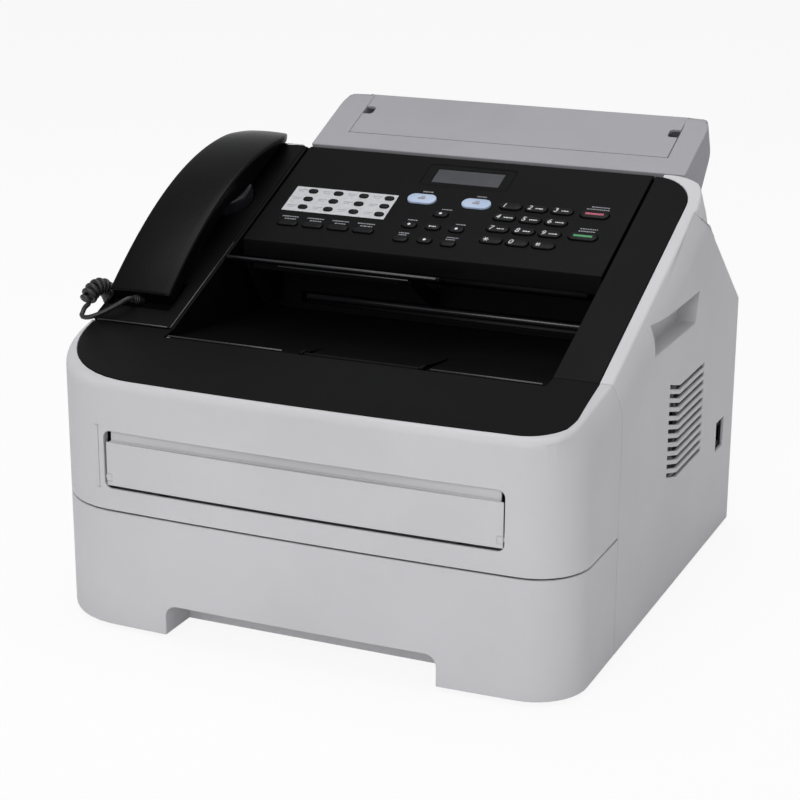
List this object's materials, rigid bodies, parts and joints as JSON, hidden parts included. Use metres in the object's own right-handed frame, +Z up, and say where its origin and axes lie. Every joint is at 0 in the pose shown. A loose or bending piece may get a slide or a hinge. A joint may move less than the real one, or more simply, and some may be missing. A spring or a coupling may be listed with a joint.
{
  "type": "fax machine",
  "caption": "Desktop laser fax machine with a sloping control panel, output tray, rear document feeder, paper tray and a side handset on a curly cord.",
  "frame": {"origin": "on the ground under the middle of the machine, measured over its body, handset cradle and feeder", "axes": "+X to the machine's right as its user sees it, +Y to the back, +Z up"},
  "size_m": [0.4003, 0.3802, 0.3074],
  "materials": {
    "white_shell": "fine satin texture",
    "grey_shell": "fine satin texture",
    "black_shell": "satin, finely grained",
    "black_gloss": "satin gloss",
    "dark_key": "satin",
    "blue_key": "satin",
    "red_key": "satin with a red bar",
    "green_key": "satin with a green bar",
    "display": "clear, over a grey-blue display",
    "cord_black": "satin",
    "roller_rubber": "matte",
    "frame_plastic": "moulded",
    "unit_plastic": "moulded",
    "fuser_metal": "plated sheet",
    "plate_steel": "zinc plated sheet",
    "board_green": "solder mask"
  },
  "bodies": {
    "machine": {"chassis": "frame_plastic", "left_cover": "white_shell", "right_cover": "white_shell", "top_cover": "black_shell", "rubber_feet": "roller_rubber", "modular_jacks": "black_gloss", "laser_unit": "unit_plastic", "drum_unit": "unit_plastic", "toner_cartridge": "unit_plastic", "fuser_unit": "fuser_metal", "circuit_boards": "board_green", "main_drive": "frame_plastic", "scanner_unit": "unit_plastic", "feeder_housing": "grey_shell", "handset_cradle": "black_shell", "handset_cord": "cord_black", "handset_cord_coil": "cord_black"},
    "front_cover": {"front_cover": "white_shell", "front_cover_trim": "black_shell"},
    "manual_feed_flap": {"manual_feed_flap": "white_shell"},
    "paper_tray": {"paper_tray": "white_shell"},
    "tray_lift_plate": {"tray_lift_plate": "plate_steel"},
    "pickup_roller": {"pickup_roller": "roller_rubber"},
    "document_feed_roller": {"document_feed_roller": "roller_rubber"},
    "fan_rotor": {"fan_rotor": "unit_plastic"},
    "back_cover": {"back_cover": "white_shell"},
    "document_support": {"document_support": "grey_shell"},
    "document_guide_left": {"document_guide_left": "black_shell"},
    "document_guide_right": {"document_guide_right": "black_shell"},
    "document_output_flap": {"document_output_flap": "black_shell"},
    "output_flap": {"output_flap": "black_shell"},
    "hook_switch": {"hook_switch": "black_shell"},
    "handset": {"handset": "black_gloss"},
    "control_panel": {"control_panel": "black_shell", "display_window": "display"},
    "one_touch_keys": {"one_touch_keys": "dark_key"},
    "function_keys": {"function_keys": "dark_key"},
    "mode_key_fax": {"mode_key_fax": "blue_key"},
    "mode_key_copy": {"mode_key_copy": "blue_key"},
    "nav_up": {"nav_up": "dark_key"},
    "nav_down": {"nav_down": "dark_key"},
    "nav_left": {"nav_left": "dark_key"},
    "nav_right": {"nav_right": "dark_key"},
    "nav_ok": {"nav_ok": "dark_key"},
    "clear_key": {"clear_key": "dark_key"},
    "menu_key": {"menu_key": "dark_key"},
    "dial_1": {"dial_1": "dark_key"},
    "dial_2": {"dial_2": "dark_key"},
    "dial_3": {"dial_3": "dark_key"},
    "dial_4": {"dial_4": "dark_key"},
    "dial_5": {"dial_5": "dark_key"},
    "dial_6": {"dial_6": "dark_key"},
    "dial_7": {"dial_7": "dark_key"},
    "dial_8": {"dial_8": "dark_key"},
    "dial_9": {"dial_9": "dark_key"},
    "dial_star": {"dial_star": "dark_key"},
    "dial_0": {"dial_0": "dark_key"},
    "dial_hash": {"dial_hash": "dark_key"},
    "stop_key": {"stop_key": "red_key"},
    "start_key": {"start_key": "green_key"}
  },
  "joints": [
    {"name": "front_cover_hinge", "type": "hinge", "parent": "machine", "child": "front_cover", "pos_m": [0.009, -0.1845, 0.0938], "axis": [1, 0, 0], "range_deg": [0, 90]},
    {"name": "manual_feed_flap_hinge", "type": "hinge", "parent": "front_cover", "child": "manual_feed_flap", "pos_m": [0.009, -0.1841, 0.107], "axis": [1, 0, 0], "range_deg": [0, 90]},
    {"name": "paper_tray_slide", "type": "slide", "parent": "machine", "child": "paper_tray", "axis": [0, -1, 0], "range_m": [0, 0.25]},
    {"name": "tray_lift_plate_hinge", "type": "hinge", "parent": "paper_tray", "child": "tray_lift_plate", "pos_m": [0.009, -0.0407, 0.0107], "axis": [-1, 0, 0], "range_deg": [0, 8]},
    {"name": "pickup_roller_spin", "type": "hinge", "parent": "machine", "child": "pickup_roller", "pos_m": [0.009, -0.1202, 0.073], "axis": [1, 0, 0], "continuous": true},
    {"name": "document_feed_roller_spin", "type": "hinge", "parent": "machine", "child": "document_feed_roller", "pos_m": [0.009, 0.07397, 0.23577], "axis": [1, 0, 0], "continuous": true},
    {"name": "fan_spin", "type": "hinge", "parent": "machine", "child": "fan_rotor", "pos_m": [0.1742, 0.0568, 0.118], "axis": [1, 0, 0], "continuous": true},
    {"name": "back_cover_hinge", "type": "hinge", "parent": "machine", "child": "back_cover", "pos_m": [0.009, 0.17955, 0.0988], "axis": [-1, 0, 0], "range_deg": [0, 90]},
    {"name": "document_support_hinge", "type": "hinge", "parent": "machine", "child": "document_support", "pos_m": [0.0195, 0.18302, 0.30423], "axis": [-1, 0, 0], "range_deg": [0, 160]},
    {"name": "document_guide_left_slide", "type": "slide", "parent": "machine", "child": "document_guide_left", "axis": [1, 0, 0], "range_m": [0, 0.03]},
    {"name": "document_guide_right_slide", "type": "slide", "parent": "machine", "child": "document_guide_right", "axis": [-1, 0, 0], "range_m": [0, 0.03]},
    {"name": "document_output_flap_hinge", "type": "hinge", "parent": "machine", "child": "document_output_flap", "pos_m": [-0.051, -0.0072, 0.21399], "axis": [-1, 0, 0], "range_deg": [0, 45]},
    {"name": "output_flap_hinge", "type": "hinge", "parent": "machine", "child": "output_flap", "pos_m": [0.017, -0.1067, 0.1818], "axis": [1, 0, 0], "range_deg": [0, 150]},
    {"name": "handset_lift", "type": "slide", "parent": "machine", "child": "handset", "axis": [0, -0.3987, 0.9171], "range_m": [0, 0.06]},
    {"name": "hook_switch_rise", "type": "slide", "parent": "machine", "child": "hook_switch", "axis": [0, -0.3987, 0.9171], "range_m": [0, 0.003]},
    {"name": "control_panel_hinge", "type": "hinge", "parent": "machine", "child": "control_panel", "pos_m": [0.009, 0.11204, 0.27359], "axis": [-1, 0, 0], "range_deg": [0, 50]},
    {"name": "one_touch_keys_press", "type": "slide", "parent": "control_panel", "child": "one_touch_keys", "axis": [0, 0.3987, -0.9171], "range_m": [0, 0.0008], "stiffness_N_per_m": 1000},
    {"name": "function_keys_press", "type": "slide", "parent": "control_panel", "child": "function_keys", "axis": [0, 0.3987, -0.9171], "range_m": [0, 0.0008], "stiffness_N_per_m": 1000},
    {"name": "mode_key_fax_press", "type": "slide", "parent": "control_panel", "child": "mode_key_fax", "axis": [0, 0.3987, -0.9171], "range_m": [0, 0.0008], "stiffness_N_per_m": 1000},
    {"name": "mode_key_copy_press", "type": "slide", "parent": "control_panel", "child": "mode_key_copy", "axis": [0, 0.3987, -0.9171], "range_m": [0, 0.0008], "stiffness_N_per_m": 1000},
    {"name": "nav_up_press", "type": "slide", "parent": "control_panel", "child": "nav_up", "axis": [0, 0.3987, -0.9171], "range_m": [0, 0.0008], "stiffness_N_per_m": 1000},
    {"name": "nav_down_press", "type": "slide", "parent": "control_panel", "child": "nav_down", "axis": [0, 0.3987, -0.9171], "range_m": [0, 0.0008], "stiffness_N_per_m": 1000},
    {"name": "nav_left_press", "type": "slide", "parent": "control_panel", "child": "nav_left", "axis": [0, 0.3987, -0.9171], "range_m": [0, 0.0008], "stiffness_N_per_m": 1000},
    {"name": "nav_right_press", "type": "slide", "parent": "control_panel", "child": "nav_right", "axis": [0, 0.3987, -0.9171], "range_m": [0, 0.0008], "stiffness_N_per_m": 1000},
    {"name": "nav_ok_press", "type": "slide", "parent": "control_panel", "child": "nav_ok", "axis": [0, 0.3987, -0.9171], "range_m": [0, 0.0008], "stiffness_N_per_m": 1000},
    {"name": "clear_key_press", "type": "slide", "parent": "control_panel", "child": "clear_key", "axis": [0, 0.3987, -0.9171], "range_m": [0, 0.0008], "stiffness_N_per_m": 1000},
    {"name": "menu_key_press", "type": "slide", "parent": "control_panel", "child": "menu_key", "axis": [0, 0.3987, -0.9171], "range_m": [0, 0.0008], "stiffness_N_per_m": 1000},
    {"name": "dial_1_press", "type": "slide", "parent": "control_panel", "child": "dial_1", "axis": [0, 0.3987, -0.9171], "range_m": [0, 0.0008], "stiffness_N_per_m": 1000},
    {"name": "dial_2_press", "type": "slide", "parent": "control_panel", "child": "dial_2", "axis": [0, 0.3987, -0.9171], "range_m": [0, 0.0008], "stiffness_N_per_m": 1000},
    {"name": "dial_3_press", "type": "slide", "parent": "control_panel", "child": "dial_3", "axis": [0, 0.3987, -0.9171], "range_m": [0, 0.0008], "stiffness_N_per_m": 1000},
    {"name": "dial_4_press", "type": "slide", "parent": "control_panel", "child": "dial_4", "axis": [0, 0.3987, -0.9171], "range_m": [0, 0.0008], "stiffness_N_per_m": 1000},
    {"name": "dial_5_press", "type": "slide", "parent": "control_panel", "child": "dial_5", "axis": [0, 0.3987, -0.9171], "range_m": [0, 0.0008], "stiffness_N_per_m": 1000},
    {"name": "dial_6_press", "type": "slide", "parent": "control_panel", "child": "dial_6", "axis": [0, 0.3987, -0.9171], "range_m": [0, 0.0008], "stiffness_N_per_m": 1000},
    {"name": "dial_7_press", "type": "slide", "parent": "control_panel", "child": "dial_7", "axis": [0, 0.3987, -0.9171], "range_m": [0, 0.0008], "stiffness_N_per_m": 1000},
    {"name": "dial_8_press", "type": "slide", "parent": "control_panel", "child": "dial_8", "axis": [0, 0.3987, -0.9171], "range_m": [0, 0.0008], "stiffness_N_per_m": 1000},
    {"name": "dial_9_press", "type": "slide", "parent": "control_panel", "child": "dial_9", "axis": [0, 0.3987, -0.9171], "range_m": [0, 0.0008], "stiffness_N_per_m": 1000},
    {"name": "dial_star_press", "type": "slide", "parent": "control_panel", "child": "dial_star", "axis": [0, 0.3987, -0.9171], "range_m": [0, 0.0008], "stiffness_N_per_m": 1000},
    {"name": "dial_0_press", "type": "slide", "parent": "control_panel", "child": "dial_0", "axis": [0, 0.3987, -0.9171], "range_m": [0, 0.0008], "stiffness_N_per_m": 1000},
    {"name": "dial_hash_press", "type": "slide", "parent": "control_panel", "child": "dial_hash", "axis": [0, 0.3987, -0.9171], "range_m": [0, 0.0008], "stiffness_N_per_m": 1000},
    {"name": "stop_key_press", "type": "slide", "parent": "control_panel", "child": "stop_key", "axis": [0, 0.3987, -0.9171], "range_m": [0, 0.0008], "stiffness_N_per_m": 1000},
    {"name": "start_key_press", "type": "slide", "parent": "control_panel", "child": "start_key", "axis": [0, 0.3987, -0.9171], "range_m": [0, 0.0008], "stiffness_N_per_m": 1000}
  ],
  "couplings": [
    {"joint": "document_guide_right_slide", "follows": "document_guide_left_slide", "ratio": 1},
    {"joint": "hook_switch_rise", "follows": "handset_lift", "ratio": 0.05}
  ]
}
